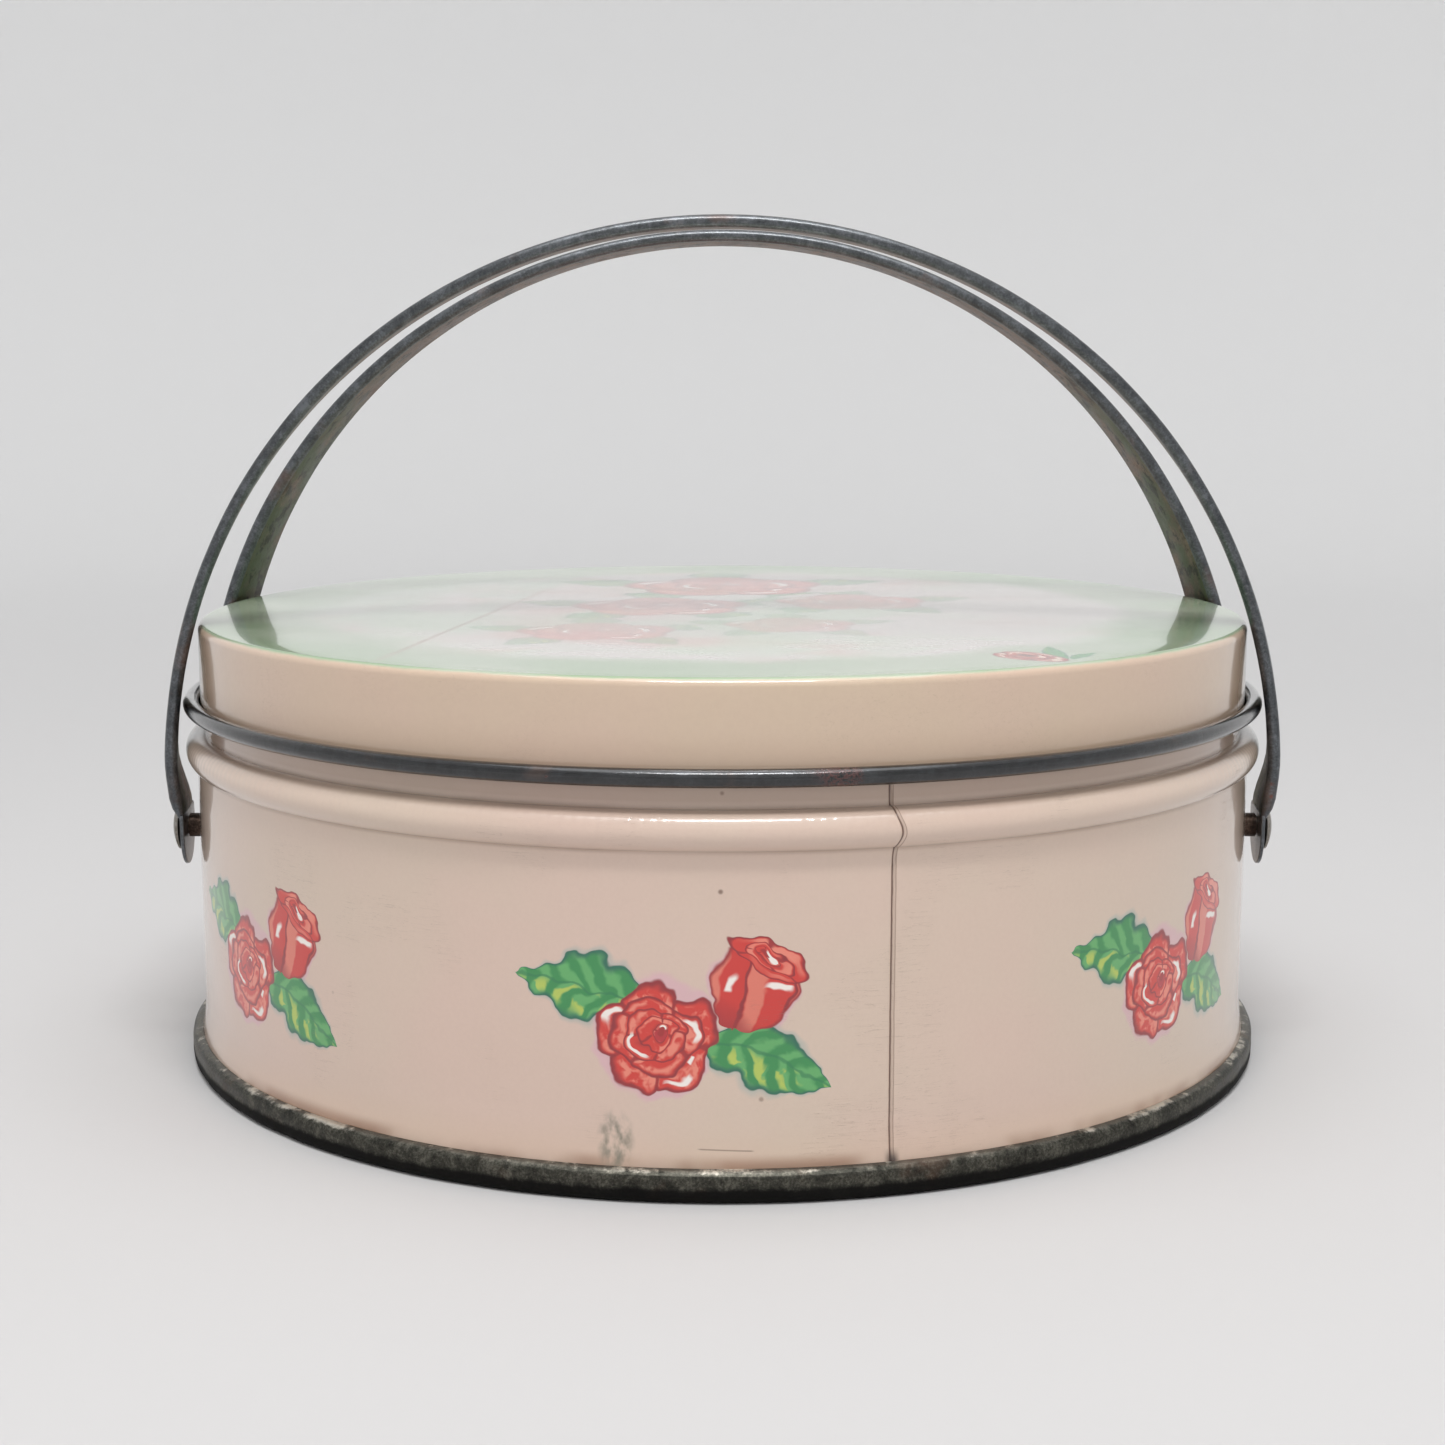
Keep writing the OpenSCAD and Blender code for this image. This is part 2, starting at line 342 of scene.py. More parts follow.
def petals(s, under, x, y, centre, reach, lobes, phase, squash=1.0, depth=0.16,
           lip="EA8470", flesh="D22E22", shade="A2191C"):
    """One ring of overlapping petals.

    Returns the colour, a field that is 1 on the ring's outer edge, and the angle.
    """
    dx, dy = x - centre[0], (y - centre[1]) / squash
    r = (dx * dx + dy * dy).sqrt()
    angle = s.math("ARCTAN2", dy, dx)
    lobe = ((angle * (lobes / 2) + phase).sin()).abs()
    edge = r / ((lobe * depth + (1.0 - depth)) * reach)
    tone = s.noise(s.point(x, y, phase), 0.55, 2.0)
    wide = (angle * 2.0 + phase * 3.0).sin() * 0.10 + 0.70
    pale = (edge - wide).step(-0.07, 0.03) * edge.step(0.93, 0.84) * tone.step(0.42, 0.58)
    ring = s.mix(pale, flesh, lip)
    ring = s.mix(edge.step(0.62, 0.35), ring, shade)
    ring = s.mix(lobe.step(0.22, 0.06) * edge.step(0.5, 0.72), ring, shade)
    ring = s.mix(edge.step(0.89, 0.97), ring, "8F1620")
    return s.mix(edge.step(1.02, 0.98), under, ring), edge, angle


def glint(s, under, edge, angle, at, wide, lo, hi, code="F6EDE6"):
    """A white crescent on a petal."""
    turn = (angle - math.radians(at)).cos()
    share = turn.step(math.cos(math.radians(wide)), math.cos(math.radians(wide * 0.6)))
    return s.mix(share * edge.band(lo, hi, 0.02), under, code)


def rose(s, under, x, y, size):
    """An open rose about the origin; size is its radius."""
    k = size
    under, e, a = petals(s, under, x, y, (0.02 * k, -0.02 * k), 1.02 * k, 5, 0.5, 0.97,
                         0.17)
    under = glint(s, under, e, a, 152, 17, 0.80, 0.90)
    under = glint(s, under, e, a, -62, 14, 0.76, 0.84)
    under = glint(s, under, e, a, -38, 8, 0.60, 0.68)
    under, e, a = petals(s, under, x, y, (-0.02 * k, 0.05 * k), 0.76 * k, 4, 1.3, 0.94,
                         0.15)
    under = glint(s, under, e, a, 12, 24, 0.78, 0.89)
    under, e, a = petals(s, under, x, y, (0.0, 0.07 * k), 0.53 * k, 4, 0.2, 0.9, 0.14)
    under = glint(s, under, e, a, 205, 44, 0.72, 0.84)
    under, e, a = petals(s, under, x, y, (0.03 * k, 0.1 * k), 0.33 * k, 3, 0.9, 0.88, 0.16)
    under, e, a = petals(s, under, x, y, (0.04 * k, 0.11 * k), 0.17 * k, 2, 0.3, 0.8, 0.1,
                         flesh="B8202A")
    return glint(s, under, e, a, 60, 75, 0.5, 0.75)


def bud(s, under, x, y, size):
    """A half-open rosebud that leans to the right; size is half its height."""
    a = math.radians(-27)
    u = (x * math.cos(a) + y * math.sin(a)) / size
    v = (y * math.cos(a) - x * math.sin(a)) / size
    width = (1.0 - ((v - 0.12) * 0.90) ** 2.0).max(0.0).sqrt() * 0.86
    side = u.abs() / (width + 0.02)
    inside = side.step(1.03, 0.96) * v.step(-1.05, -1.0) * v.step(0.86, 0.8)
    fold = (u * 6.6 + (v * 1.7).sin() * 1.1 + 0.9).sin()
    furrow = (u * 3.3 + (v * 1.7).sin() * 0.55 + 0.45).sin()
    cup = s.mix(fold.step(0.1, 0.55), "CE2A20", "DF7663")
    cup = s.mix(furrow.abs().step(0.2, 0.05), cup, "8F1620")
    cup = s.mix(side.step(0.86, 0.97), cup, "9A1820")
    cup = s.mix(v.step(-0.5, -0.95) * 0.7, cup, "9A1820")
    shine = (u + 0.42).band(-0.06, 0.06, 0.03) * v.band(-0.35, 0.05, 0.05)
    bar = (u - 0.42 - v * 0.05).band(-0.16, 0.2, 0.05) * (v - u * 0.35).band(0.02, 0.16, 0.03)
    cup = s.mix((shine + bar).min(1.0), cup, "F6EDE6")
    under = s.mix(inside, under, cup)
    for reach, squash, rise, phase in ((0.93, 0.42, 0.72, 0.7), (0.6, 0.38, 0.74, 1.6),
                                       (0.3, 0.36, 0.77, 0.2)):
        under, e, g = petals(s, under, u, v, (0.0, rise), reach, 3, phase, squash, 0.1)
    return glint(s, under, e, g, 20, 80, 0.3, 0.8)


def spray(s, under, x, y):
    """The repeated motif: an open rose about the origin, a bud and two leaves, in mm."""
    size, bud_size, bud_at = 9.3, 7.5, (14.6, 7.9)
    halo, wander = "DBA0BC", 4.4
    sway = s.noise(s.point(x, y, 7.0), 0.22, 2.0, 0.4)
    lift = s.noise(s.point(x, y, 21.0), 0.22, 2.0, 0.4)
    x = x + (sway - 0.5) * wander
    y = y + (lift - 0.5) * wander
    glow = ((x * x + y * y).sqrt() / size).step(1.09, 0.98)
    bx, by = x - bud_at[0], y - bud_at[1]
    glow = glow.max(((bx * bx + by * by).sqrt() / 6.8).step(1.12, 0.98))
    under = s.mix(glow * 0.45, under, halo)
    under = leaf(s, under, x, y, (0.5, 5.0), 171, 22.8, 5.0, -3.4)
    under = leaf(s, under, x, y, (6.4, -0.2), -22, 21.6, 5.0, 5.0, sun=-1)
    under = bud(s, under, bx, by, bud_size)
    return rose(s, under, x, y, size)


# flowers on the lid: place, radius and strength
CROWD = 5              # leaves round each of them
BOUQUET = ((0.0, 46.0, 21.0, 0.62), (-12.0, 6.0, 17.0, 0.50), (25.0, 14.0, 15.0, 0.46),
           (-22.0, -36.0, 14.0, 0.42), (12.0, -26.0, 12.0, 0.34))


def litho_body():
    s = Shader("litho_body")
    per_degree = math.pi / 180 * WALL_R
    turn = s.math("ARCTAN2", s.x, -s.y) * (180 / math.pi)
    arc_mm = turn * per_degree
    at = s.where
    # ground colour: warm pink cream, a little uneven, and darker and browner towards the
    # bottom
    cloud = s.noise(at, 0.018, 3.0, 0.55)
    base = s.mix(cloud.step(0.35, 0.7), "D9BFB0", "D6C2B0")
    base = s.mix(s.noise(at, 1.6, 3.0, 0.6).step(0.2, 0.9) * 0.10, base, "B79A8C")
    base = s.mix(s.z.step(13.0, 5.0) * 0.35, base, "BFA286")
    tide = s.z.step(7.6, 5.4) * s.noise(at, 0.04, 3.0).step(0.42, 0.6)
    base = s.mix(tide * 0.7, base, "8E6244")
    # painted shade: darker creases on both sides of the bead, and a darker neck under the
    # lid's curl
    crease_shade = s.z.band(53.7, 54.3, 0.35) + s.z.band(60.0, 60.8, 0.5)
    patchy_shade = s.noise(at, 0.05, 2.0) * 0.5 + 0.1
    base = s.mix((crease_shade * patchy_shade).min(1.0), base, "8D6F58")
    # painted shade on the neck, which lies under the lid
    base = s.mix(s.z.step(60.4, 61.6) * 0.45, base, "A58672")
    # the motif, seven times round, with two of them a little off the even spacing
    left = turn.step(-83.2, -83.0) * turn.step(-31.6, -31.8) * 2.4
    right = turn.step(15.2, 15.4) * turn.step(71.0, 70.8) * 1.6
    cell, first, height = 360.0 / 7, -6.0, 25.2
    placed = turn - left - right + (cell / 2 - first)
    placed = s.math("FLOORED_MODULO", placed, cell) - cell / 2
    base = spray(s, base, placed * per_degree, s.z - height)
    # worn spots, scratches and grime
    d, pick = s.cells(at, 0.16)
    base = s.mix(d.step(0.09, 0.03) * pick.step(0.93, 0.94) * 0.8, base, "6A4A38")
    long = s.noise(s.point(arc_mm * 0.11, s.z * 2.4, 5.0), 1.0, 2.0)
    scratch = (long - 0.5).abs().step(0.006, 0.001)
    scratch = scratch * s.noise(at, 0.06, 1.0).step(0.56, 0.66)
    base = s.mix(scratch * 0.35, base, "8F7565")
    smear = s.noise(s.point(arc_mm, s.z * 0.6, 1.0), 0.8, 2.0, 0.5)
    spot = (arc_mm + 16.3) * (arc_mm + 16.3) / 5.0 + (s.z - 9.0) * (s.z - 9.0) / 14.0
    base = s.mix(spot.step(2.2, 0.1) * smear.step(0.28, 0.72) * 0.85, base, "575F50")
    line = (s.z - 8.0 + (arc_mm + 1.0) * 0.035).abs().step(0.16, 0.06)
    base = s.mix(line * arc_mm.band(-3.6, 4.6, 0.4) * 0.6, base, "6E5A4C")
    # the side seam, a dark double line
    climb = s.math("EXPONENT", -(((s.z - SEAM_CLIMB_Z) / SEAM_CLIMB_H) ** 2.0)) * SEAM_CLIMB
    off = arc_mm - SEAM_TURN * per_degree - climb
    shake = (s.noise(s.point(0.0, 0.0, s.z), 0.3, 2.0) - 0.5) * 0.18
    off = off + shake
    base = s.mix((off + 0.22).abs().step(0.2, 0.1) * 0.85, base, "5B3A2C")
    base = s.mix((off - 0.28).abs().step(0.14, 0.05) * 0.55, base, "7A5A48")
    foot = off.abs().step(1.5, 0.2) * s.z.step(7.5, 5.4)
    base = s.mix(foot * 0.9, base, "3A2720")
    rough = s.noise(at, 0.05, 4.0, 0.6).step(0.3, 0.8) * 0.10 + 0.29
    bump = s.bump(s.noise(at, 0.35, 3.0, 0.55), 0.028)
    bump = s.bump(scratch, 0.01, bump)
    # the roller's fine ripples on the bead
    chatter = (arc_mm * 3.4 + (cloud - 0.5) * 6.0).sin() * s.z.band(57.0, 60.0, 0.8)
    bump = s.bump(chatter, 0.012, bump)
    return s.finish(base, rough, bump, coat=1.0, coat_rough=0.04)


def litho_lid():
    s = Shader("litho_lid")
    at = s.where
    x, y = s.x, s.y
    r = (x * x + y * y).sqrt()
    wob = (s.noise(at, 0.045, 3.0) - 0.5) * 16.0
    # faded ground of the picture: white and blush
    blush = s.noise(at, 0.024, 4.0, 0.6, 0.6)
    top = s.mix(blush.step(0.45, 0.66), "D6CFCA", "D6B9B2")
    pool = s.noise(s.point(x + 60.0, y), 0.02, 3.0, 0.6).step(0.46, 0.64)
    top = s.mix(pool * 0.7, top, "BFD2B8")
    # a straight edge in the print, greener to its left
    edge = x - y * 0.1576 + 42.1 + wob * 0.06
    streak = s.noise(s.point(x * 0.25, y * 0.08, 2.0), 0.12, 3.0, 0.6)
    top = s.mix(edge.step(2.0, -2.0) * streak.step(0.4, 0.6) * 0.7, top, "BCCDB9")
    # soft roses among leaves; each point belongs to the nearest flower
    size = 8.9
    u = v = near = fade = None
    for cx, cy, radius, dim in BOUQUET:
        du, dv = (x + wob * 0.10 - cx) / radius, (y - wob * 0.08 - cy) / radius
        far = du * du + dv * dv
        if u is None:
            u, v, near, fade = du, dv, far, s.math("ADD", dim, 0.0)
        else:
            won = s.math("LESS_THAN", far, near)
            u, v = u + won * (du - u), v + won * (dv - v)
            fade = fade + won * (dim - fade)
            near = near.min(far)
    u, v = u * size, v * size
    share = 2 * math.pi / CROWD
    angle = s.math("FLOORED_MODULO", s.math("ARCTAN2", v, u) + 0.3, share) - share / 2
    reach = (u * u + v * v).sqrt()
    drawn = leaf(s, top, reach * angle.cos(), reach * angle.sin(), (5.5, 0.0), 0, 10.0,
                 2.8, 1.0)
    drawn = rose(s, drawn, u, v, size)
    top = s.mix(fade, top, drawn)
    # mint border with a small rose on it
    border = (r + wob).step(72.0, 82.0)
    top = s.mix(border, top, "9DB493")
    top = s.mix(border * s.noise(at, 0.03, 3.0).step(0.35, 0.6) * 0.7, top, "BAC3AF")
    turn = s.math("ARCTAN2", x, -y) - math.radians(34.5)
    u, v = r * turn.sin(), 86.0 - r * turn.cos()
    top = leaf(s, top, u, v, (2.6, -6.0), 58, 17.0, 1.7, 3.0)
    top = leaf(s, top, u, v, (3.0, -6.5), 25, 10.0, 1.3, 2.0)
    narrow, dark = u * 1.7, "6E2418"
    top, *_ = petals(s, top, narrow, v, (0, 0), 7.8, 3, 0.6, 1.0, 0.15,
                     "E6CDB8", "B23A2A", dark)
    top, *_ = petals(s, top, narrow, v, (0.6, 1.2), 4.4, 2, 0.2, 1.0, 0.15,
                     "EBD6C4", "C9553F", dark)
    fold = edge.abs().step(0.7, 0.25) * y.band(-76.0, 40.0, 3.0)
    top = s.mix(fold * 0.55, top, "A67F72")
    # skirt
    cloud = s.noise(at, 0.018, 3.0, 0.55)
    skirt = s.mix(cloud.step(0.35, 0.7), "D2B8A4", "D0BAA2")
    skirt = s.mix(s.noise(at, 0.9, 3.0, 0.7).step(0.3, 0.8) * 0.10, skirt, "B79A8C")
    skirt = s.mix(s.z.step(73.0, 66.0) * 0.25, skirt, "AE8B70")
    wander = (s.noise(at, 0.2, 2.0) - 0.5) * 0.5
    base = s.mix((r + wander).step(96.5, 95.9) * s.z.step(79.0, 79.3), skirt, top)
    d, pick = s.cells(at, 0.17)
    base = s.mix(d.step(0.08, 0.03) * pick.step(0.92, 0.93) * 0.75, base, "6A4A38")
    long = s.noise(s.point(x * 0.9, y * 0.08, s.z * 1.4), 0.8, 2.0)
    scratch = (long - 0.5).abs().step(0.005, 0.001)
    scratch = scratch * s.noise(at, 0.05, 1.0).step(0.55, 0.66)
    base = s.mix(scratch * 0.3, base, "9A8478")
    rough = s.noise(at, 0.05, 4.0, 0.6).step(0.3, 0.8) * 0.08 + 0.14
    bump = s.bump(s.noise(at, 0.35, 3.0, 0.55), 0.012)
    bump = s.bump(scratch, 0.008, bump)
    return s.finish(base, rough, bump, coat=0.7, coat_rough=0.03)


def steel(name, dark, mid, light, rust=0.5, green=0.0, metal=0.85, rough=(0.30, 0.5),
          foot=None, spot=None, level=0.5, coat=0.0):
    """Bare steel with a mottled patina and rust specks.

    green is the strength of a green tint low down, foot the height below which the steel is
    painted near black as shade (giving it also paints a highlight, broken like chipped bare
    tin, along the top edge at about 5 mm), and spot the middle of a rust mark, all in mm.
    """
    s = Shader(name)
    at = s.where
    mottle = s.noise(at, 0.30, 6.0, 0.72, 0.6)
    fine = s.noise(at, 2.4, 3.0, 0.7)
    base = s.ramp(mottle * 0.6 + fine * 0.4, ((0.38, dark), (0.5, mid), (0.62, light)))
    if green:
        tint = s.noise(at, 0.09, 4.0, 0.6).step(0.36, 0.56) * s.z.step(132.0, 108.0)
        base = s.mix(tint * green, base, "465439")
        blot = s.noise(s.point(s.x + 31.0, s.y, s.z), 0.3, 4.0, 0.7).step(0.52, 0.60)
        base = s.mix(blot * 0.85, base, "26221E")
    brown = s.noise(s.point(s.x, s.y + 17.0, s.z), 0.07, 4.0, 0.62).step(0.56, 0.70)
    base = s.mix(brown * rust * 0.6, base, "6B4C3C")
    d, pick = s.cells(at, 0.5)
    specks = d.step(0.28, 0.1) * pick.step(0.90, 0.93) * brown.step(0.0, 0.5)
    base = s.mix(specks * rust, base, "6E2F1E")
    dull = (specks * 0.8 + brown * 0.4).min(1.0)
    if spot:
        far = s.vector("DISTANCE", at, spot)
        crust = (mottle * 0.4 + fine * 0.6).step(0.42, 0.52)
        rusty = (Field(s, far) + (mottle - 0.5) * 9.0).step(5.0, 1.5) * crust
        base = s.mix(rusty * 0.9, base, "43120C")
        dull = dull.max(rusty)
    if foot:
        # painted highlight along the rim's top edge, broken into chips like worn bare tin
        chips = s.noise(at, 0.11, 5.0, 0.7).step(0.50, 0.60)
        edge_highlight_and_wear = (s.z + (mottle - 0.5) * 1.6).step(4.7, 5.1) * (chips * 0.75 + 0.1)
        base = s.mix(edge_highlight_and_wear, base, "DAD3C6")
        # painted shade: below foot the steel is painted near black, for the shadow under the
        # rim
        foot_shade = (s.z + (mottle - 0.5) * 1.2).step(foot + 0.5, foot - 0.5)
        base = s.mix(foot_shade * 0.95, base, "060505")
        dull = dull.max(foot_shade * 1.4)
    r = mottle.step(0.3, 0.7) * (rough[1] - rough[0]) + rough[0] + dull * 0.2
    bump = s.bump(mottle + fine * 0.35, 0.05)
    return s.finish(base, r, bump, metal=(1.0 - dull * 0.7).max(0.0) * metal, level=level,
                    coat=coat)


def tinplate():
    """The unprinted inside."""
    s = Shader("plain_tinplate")
    at = s.where
    spangle = s.noise(at, 0.05, 4.0, 0.6)
    base = s.mix(spangle.step(0.4, 0.65), "A7A8A6", "A89C84")
    stain = s.noise(s.point(s.x + 9.0, s.y, s.z), 0.04, 5.0, 0.65).step(0.58, 0.68)
    base = s.mix(stain * 0.4, base, "6E5B48")
    fine = s.noise(s.point(s.x * 0.2, s.y * 0.2, s.z * 3.0), 1.2, 3.0, 0.7)
    rough = spangle.step(0.3, 0.7) * 0.15 + 0.28
    return s.finish(base, rough, s.bump(fine, 0.012), metal=0.9)


MAT = {
    "body": litho_body(),
    "lid": litho_lid(),
    "curl": steel("bare_curl", "1E1E1F", "292A2C", "37393C", rust=0.5, rough=(0.15, 0.21),
                  spot=(17.4, -98.2, 65.4), coat=1.0),
    "rim": steel("bare_rim", "2C2C28", "46453F", "6A685F", rust=0.5, rough=(0.32, 0.5),
                 foot=2.5, level=0.1),
    "strap": steel("strap_steel", "3C3F43", "505356", "6A6E73", rust=0.7,
                   rough=(0.285, 0.38), coat=0.5),
    # the strap's inside: its brown-pink is a painted reflection of the lid, with patina, a
    # green tint and rust
    "strap_inside": steel("strap_inside", "4A3C34", "6E5A4E", "907A6C", rust=0.9,
                          green=0.85, rough=(0.34, 0.5)),
    "rivet": steel("rivet_steel", "5A544D", "857F77", "A8A49E", rust=0.6),
    "spacer": steel("spacer_steel", "2A211D", "43362F", "6B5A50", rust=0.8),
    "inside": tinplate(),
}


# ---------------------------------------------------------------- body

def turns_round(count, extra=()):
    """Bearings of a ring, with a few close ones in the place of those near them."""
    base = [360.0 * i / count for i in range(count)]
    if extra:
        lo, hi = min(extra), max(extra)
        base = [t for t in base if not lo - 0.2 < t < hi + 0.2]
    return sorted(base + list(extra))


def dent(r, t, z, size, wave):
    """Slow unevenness of pressed sheet, in mm."""
    a = math.radians(t)
    p = Vector((math.sin(a) * r, -math.cos(a) * r, z)) * wave
    return noise.noise(p) * size


def make_body():
    bead_round, neck_r, foot_r, rim_h, flare = 3.2, 96.0, 98.3, 5.2, 10.0
    bead_x = WALL_R + 2.0 - bead_round
    path = [(foot_r, 0.9), (foot_r, rim_h + 0.2),
            ((foot_r + WALL_R) / 2, (rim_h + flare) / 2 - 0.6), (WALL_R, flare)]
    path += arc((bead_x, BEAD_Z), bead_round,
                -math.degrees(math.acos((WALL_R - bead_x) / bead_round)),
                math.degrees(math.acos((neck_r - bead_x) / bead_round)), 32)
    path += arc((neck_r - 1.0, 78.2 - 1.0), 1.0, 0, 265, 14)
    path = filled(path, 3.0)
    inner = shifted(path, SHEET)[::-1]
    outline = path + inner
    slots = [0] * (len(path) - 1) + [1] * len(inner)
    seam_mm = (-3.0, -1.6, -0.9, -0.55, -0.38, -0.28, -0.2, -0.1, 0.0, 0.1, 0.2, 0.34, 0.6,
               1.2, 2.4)
    gap, lap = 0.26, 0.16          # depth of the open joint, and rise of the sheet over it
    calm_low, calm_high = 8, 53    # the dents lie between these heights
    hinge_turn = 13.1              # bearing of a rivet from the side
    k = 180 / math.pi / WALL_R
    turns = turns_round(400, [SEAM_TURN + m * k for m in seam_mm])

    def shape(r, t, z):
        off = (t - SEAM_TURN) / k
        near = math.exp(-(off / 2.2) ** 2)
        turn = t + seam_shift(z) * near * k
        lift = 0.0
        if 5.0 < z < 77.5 and abs(off) < 3.5:
            lift = -gap * math.exp(-((off + 0.18) / 0.2) ** 2)
            if off > 0:
                lift += lap * smooth(1 - off / 2.4) * smooth(off / 0.2)
        calm = smooth((z - calm_low) / 8) * smooth((calm_high - z) / 6)
        hinge = min(abs(abs(t - 180) - 90 + s) for s in (-hinge_turn, hinge_turn))
        calm *= smooth((hinge - 4) / 4)
        return r + lift + dent(r, t, z, 0.22, 0.035) * calm, turn, z

    bm = bmesh.new()
    rings = turned(bm, outline, turns, slots[:len(outline) - 1], shape)
    joined(bm, rings[-1], rings[0], 1)
    piece = finished("tin_wall", bm, [MAT["body"], MAT["inside"]])
    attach(piece, "tin")
    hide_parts("body_shell")


def make_base():
    lip, chuck, rim_r, rim_round, rim_h, panel = 98.35, 97.8, 100.2, 1.4, 5.2, 3.6
    ring = [(0, panel), (76, panel), (77.5, panel - 0.6), (88, panel - 0.6), (89.5, panel)]
    under = filled(ring + [(chuck - 0.6, panel)], 4.0)
    above = [(r, z + SHEET) for r, z in under[:-1]] + [(chuck, panel + SHEET)]
    rim = [(chuck, 0.7), (lip, 0.7), (lip, rim_h)]
    rim += arc((rim_r - rim_round, rim_h - rim_round), rim_round, 90, 0, 14)
    rim += arc((rim_r - rim_round, rim_round), rim_round, 0, -90, 14)
    rim += [(chuck - 0.1, 0), (chuck - 0.6, 0.5)]
    outline = above + filled(rim, 1.2) + under[::-1]
    n_above = len(above)
    slots = [1] * n_above + [0] * (len(outline) - n_above)

    def shape(r, t, z):
        """Waves round the seamed rim and along its top edge."""
        east, north = math.sin(math.radians(t)), math.cos(math.radians(t))
        if r > 98.4:
            r -= 0.10 + 0.10 * noise.noise(Vector((east * 16, north * 16, z * 0.3)))
            if z > 4.6:
                z += 0.10 * noise.noise(Vector((east * 22, north * 22, 4.0))) - 0.06
        return r, t, z

    bm = bmesh.new()
    turned(bm, outline, turns_round(480), slots[:len(outline) - 1], shape)
    bmesh.ops.remove_doubles(bm, verts=bm.verts, dist=1e-4)
    piece = finished("tin_base", bm, [MAT["rim"], MAT["inside"]])
    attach(piece, "tin")
    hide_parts("bottom_end")


def make_lid():
    top, inside, corner = 80.0, 96.8 - SHEET, 1.0
    curl_z, curl_round, curl_r = 65.3, 1.45, 99.85
    under = top - SHEET
    head = [(0, under)] + arc((inside - corner, under - corner), corner, 90, 0, 10)
    curl = arc((inside + curl_round, curl_z), curl_round, 180, 270, 8)
    curl += arc((curl_r - curl_round, curl_z), curl_round, 270, 520, 36)
    head = filled(head + [curl[0]], 4.0)[:-1]
    path = head + curl
    outer = shifted(path, SHEET)
    n_head = len(head)
    outline = outer + path[::-1]
    slots = [0] * n_head + [1] * (len(outer) - n_head)
    slots += [1] * (len(path) - n_head) + [2] * n_head

    def shape(r, t, z):
        """Slow dents in the top panel and the skirt."""
        if z > 79.4 and r < 95:
            calm = smooth((95 - r) / 8)
            z += dent(r, t, 0, 0.10, 0.03) * calm - 0.05 * calm
        elif 68 < z < 78.5:
            r += dent(r, t, z, 0.05, 0.05) * smooth((z - 68) / 3)
        return r, t, z

    bm = bmesh.new()
    turned(bm, outline, turns_round(480), slots[:len(outline) - 1], shape)
    piece = finished("lid_cover", bm, [MAT["lid"], MAT["curl"], MAT["inside"]])
    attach(piece, "lid")
    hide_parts("lid")


# ---------------------------------------------------------------- handles

# The heights are above the hinge line, before the handle leans.
STRAP_W, STRAP_T, HEM_R = 14.0, 0.5, 1.12
ARCH_R, RISE, SQUASH = 98.6, 8.5, 0.989          # the arch, its middle, and its flattening
LEG_TWIST, FADE, LEG_TOP = 12.5, 3.5, 14.0       # degrees, its growth down the leg, height
LUG_X, LUG_T, LUG_TILT, HEM_END = 97.3, 0.7, 5.0, 2.6
STRAP_IN = LUG_X - STRAP_T / 2
HOLE_R = 1.66


def strap_point(f):
    """Place (x, z) and twist of the strap's middle at f, the angle from the arch's top."""
    z = RISE + ARCH_R * SQUASH * math.cos(f)
    k = smooth((z - HEM_END) / (LEG_TOP - HEM_END))
    x = STRAP_IN + (ARCH_R * abs(math.sin(f)) - STRAP_IN) * k
    twist = LUG_TILT + (LEG_TWIST * abs(math.sin(f)) ** FADE - LUG_TILT) * k
    return Vector((math.copysign(x, f) if f else 0.0, z)), math.radians(twist)


def strap_section(hem, sides=12):
    """Closed section of the hemmed strap, as points (across, outward)."""
    s0 = STRAP_W / 2 - HEM_R
    last = 180 - math.degrees(math.asin(max(-1, (STRAP_T - hem) / hem)))
    right = arc((s0, hem), hem, -90, last, sides)
    left = [(-s, n) for s, n in reversed(right)]
    return right + left


def make_handle(name, node, spin):
    """One handle. spin is 1 for the handle behind, which is turned half round."""
    bm = bmesh.new()
    end_f = math.acos((HEM_END - RISE) / (ARCH_R * SQUASH))
    steps = 150
    rings = []
    for i in range(steps + 1):
        u = 2 * i / steps - 1
        f = end_f * math.copysign(abs(u) ** 0.9, u)
        p, twist = strap_point(f)
        ahead, behind = strap_point(f + 0.004)[0], strap_point(f - 0.004)[0]
        along = (ahead - behind).normalized()
        out = Vector((-along.y, along.x))
        if out.dot(p - Vector((0, RISE))) < 0:
            out = -out
        near_end = smooth((p.y - HEM_END - 0.2) / 2.6)
        hem = HEM_R * (0.42 + 0.58 * near_end)
        ring = []
        for s, n in strap_section(hem):
            wave = 0.035 * noise.noise(Vector((p.x * 0.12, s * 0.08 + spin, p.y * 0.12)))
            outward = s * math.sin(twist) + (n + wave) * math.cos(twist)
            across = s * math.cos(twist) - n * math.sin(twist)
            ring.append(bm.verts.new((p.x + out.x * outward, across, p.y + out.y * outward)))
        rings.append(ring)
    n = len(rings[0])
    h = n // 2
    for a, b in zip(rings, rings[1:]):
        for j in range(n):
            k = (j + 1) % n
            slot = 1 if j == n - 1 else 0
            bm.faces.new((a[j], b[j], b[k], a[k])).material_index = slot
    for ring in (rings[0], rings[-1]):
        bm.faces.new(ring[:h])
        bm.faces.new(ring[h:])
        bm.faces.new((ring[0], ring[h - 1], ring[h], ring[-1]))
    for side in (1, -1):
        add_lug(bm, side)
    lean = math.radians(LEAN)
    for v in bm.verts:
        x, y, z = v.co
        back = y * math.cos(lean) - z * math.sin(lean)
        up = y * math.sin(lean) + z * math.cos(lean)
        v.co = (x, back - HINGE_Y, up + HINGE_Z)
        if spin:
            v.co.x, v.co.y = -v.co.x, -v.co.y
    piece = finished(name, bm, [MAT["strap"], MAT["strap_inside"]])
    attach(piece, node)
    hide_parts(node)


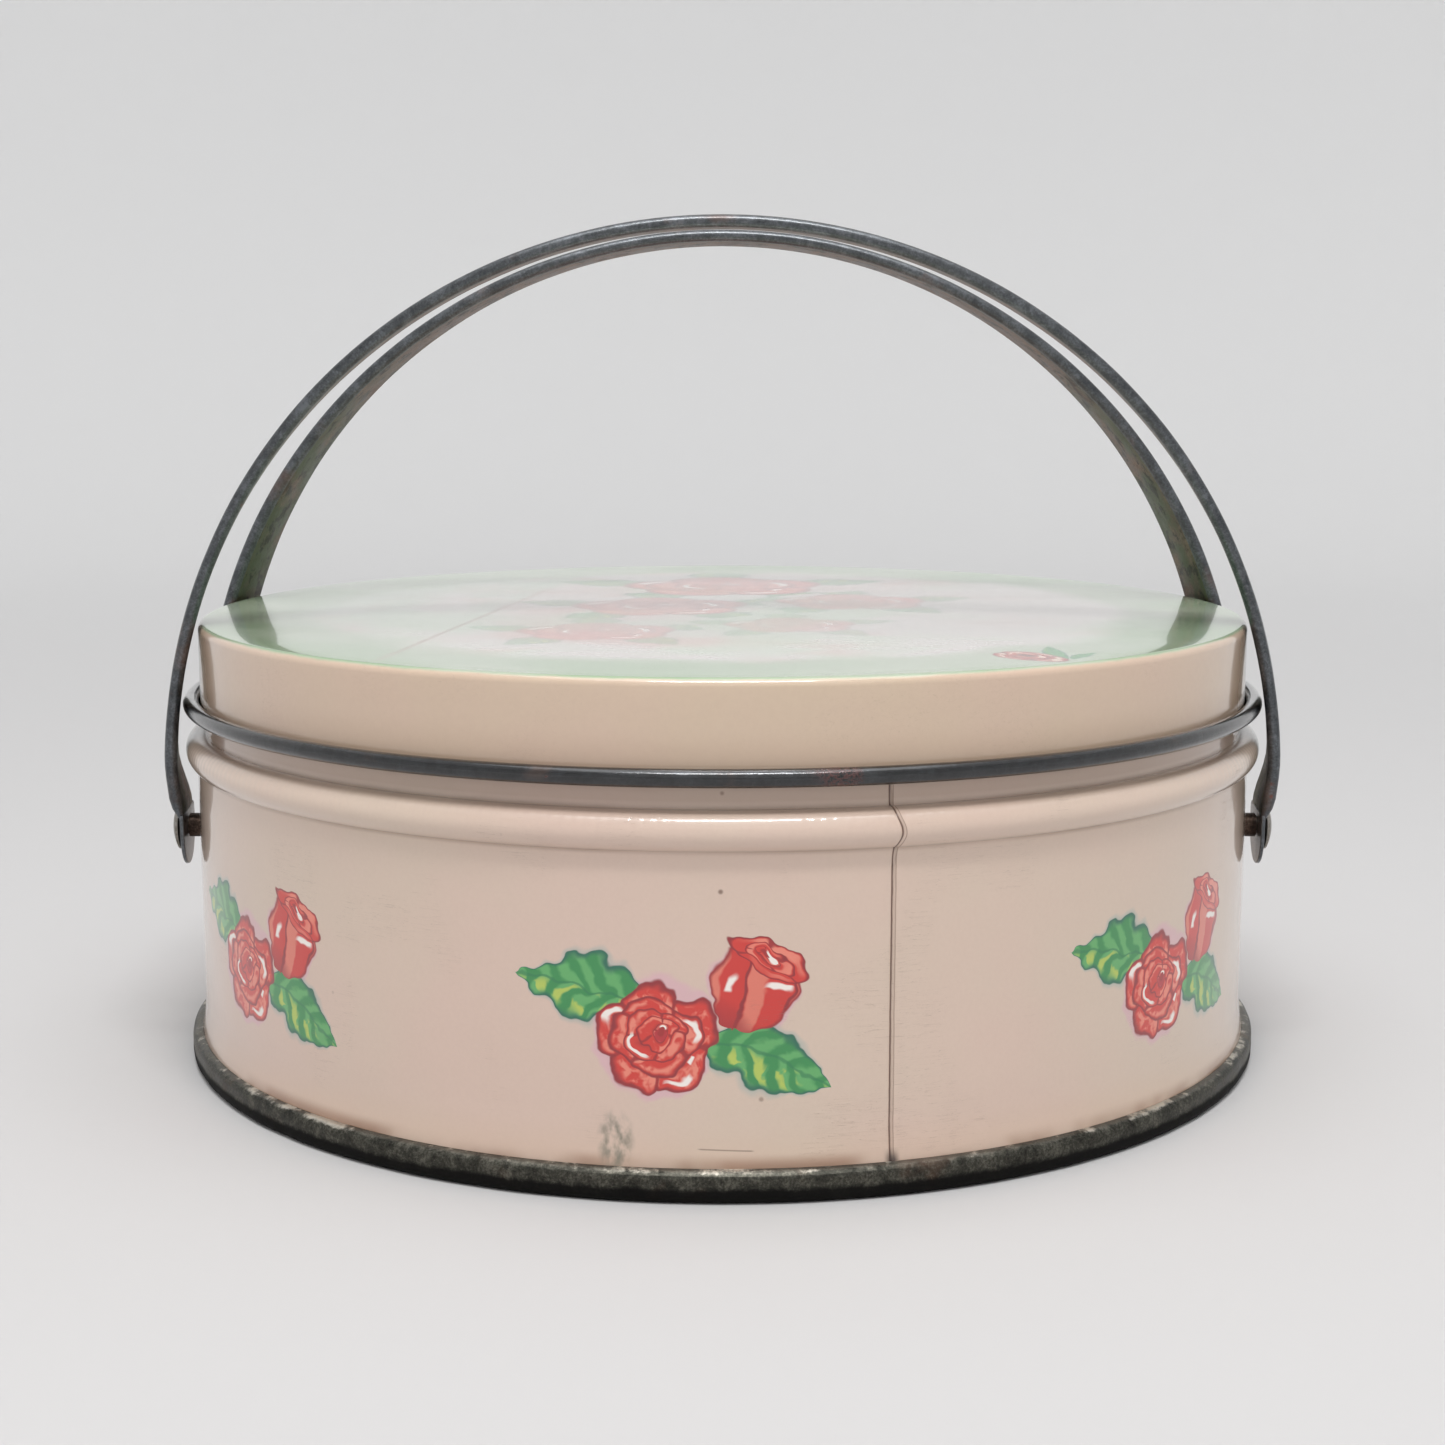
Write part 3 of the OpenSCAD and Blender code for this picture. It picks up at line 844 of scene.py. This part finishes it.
def add_lug(bm, side):
    """A round-ended tab with its rivet hole, its rims slightly eased."""
    half, ease, top = STRAP_W / 2, 0.14, HEM_END + 0.5
    count = 72
    face = LUG_T / 2
    loops = [(-face, -ease, True), (-face + ease, 0.0, True),
             (face - ease, 0.0, True), (face, -ease, True),
             (face, ease, False), (face - ease, 0.0, False),
             (-face + ease, 0.0, False), (-face, ease, False)]
    rings = []
    tilt = math.radians(LUG_TILT)
    for depth, grow, outer in loops:
        ring = []
        for i in range(count):
            a = 2 * math.pi * i / count
            c, s = math.cos(a), math.sin(a)
            if not outer:
                reach = HOLE_R + grow
            elif s <= 0:
                reach = half + grow
            else:
                reach = min((half + grow) / max(abs(c), 1e-6),
                            (top + grow) / max(s, 1e-6))
            across, up = reach * c, reach * s
            x = LUG_X + depth * math.cos(tilt) + across * math.sin(tilt)
            y = across * math.cos(tilt) - depth * math.sin(tilt)
            ring.append(bm.verts.new((side * x, y, up)))
        rings.append(ring)
    for i in range(len(rings)):
        joined(bm, rings[i], rings[(i + 1) % len(rings)], 0)


make_body()
make_base()
make_lid()
make_handle("front_strap", "front_handle", 0)
make_handle("back_strap", "back_handle", 1)
for where in ("front_left", "front_right", "back_left", "back_right"):
    for part, look in (("rivet", "rivet"), ("spacer", "spacer"), ("washer", "spacer")):
        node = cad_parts[f"{where}_{part}"]
        node.data.materials.clear()
        node.data.materials.append(MAT[look])


# ---------------------------------------------------------------- stage, camera and light

def make_stage():
    """A pale floor that rises all round into a wall."""
    s = Shader("paper")
    r = (s.x * s.x + s.y * s.y).sqrt()
    # painted light: the paper is darker near the middle and lighter far out, evening out the
    # lamps' light on it
    base = s.mix(r.step(220.0, 1300.0), "C5C4C4", "E4E4E4")
    paper = s.finish(base, 0.9, s.bump(s.noise(s.where, 0.6, 3.0), 0.02))
    path = [(0, 0), (300, 0), (700, 0)] + arc((900, 500), 500, -90, 0, 16) + [(1400, 1300)]
    bm = bmesh.new()
    turned(bm, path, turns_round(96), [0] * len(path))
    floor = finished("floor", bm, [paper])


def area(name, place, aim, size, power):
    """A rectangular white light."""
    lamp = bpy.data.lights.new(name, "AREA")
    lamp.shape, lamp.size, lamp.size_y = "RECTANGLE", size[0], size[1]
    lamp.energy = power
    o = bpy.data.objects.new(name, lamp)
    o.location = place
    o.rotation_euler = (Vector(aim) - Vector(place)).to_track_quat("-Z", "Y").to_euler()
    bpy.context.scene.collection.objects.link(o)


make_stage()
area("overhead", (0.02, -0.10, 1.1), (0, 0, 0.05), (1.0, 0.7), 4.1)
area("lamp", (0.03, -0.45, 1.0), (0, -0.05, 0.05), (0.44, 0.10), 4.6)
area("front", (0.1, -1.0, 0.75), (0, 0, 0.05), (1.0, 0.7), 0.8)

scene = bpy.context.scene
world = bpy.data.worlds.new("room")
world.use_nodes = True
world.node_tree.nodes["Background"].inputs[0].default_value = (0.96, 0.96, 0.965, 1)
world.node_tree.nodes["Background"].inputs[1].default_value = 0.79
scene.world = world
scene.view_settings.view_transform = "Standard"

PITCH_DOWN = 8.88      # degrees
camera = bpy.data.cameras.new("camera")
camera.lens, camera.sensor_width = 56.93, 36.0
camera.clip_start = 0.01
eye = bpy.data.objects.new("camera", camera)
eye.location = (0.0, -0.430, 0.1255)
eye.rotation_euler = (math.radians(90 - PITCH_DOWN), 0, 0)
scene.collection.objects.link(eye)
scene.camera = eye
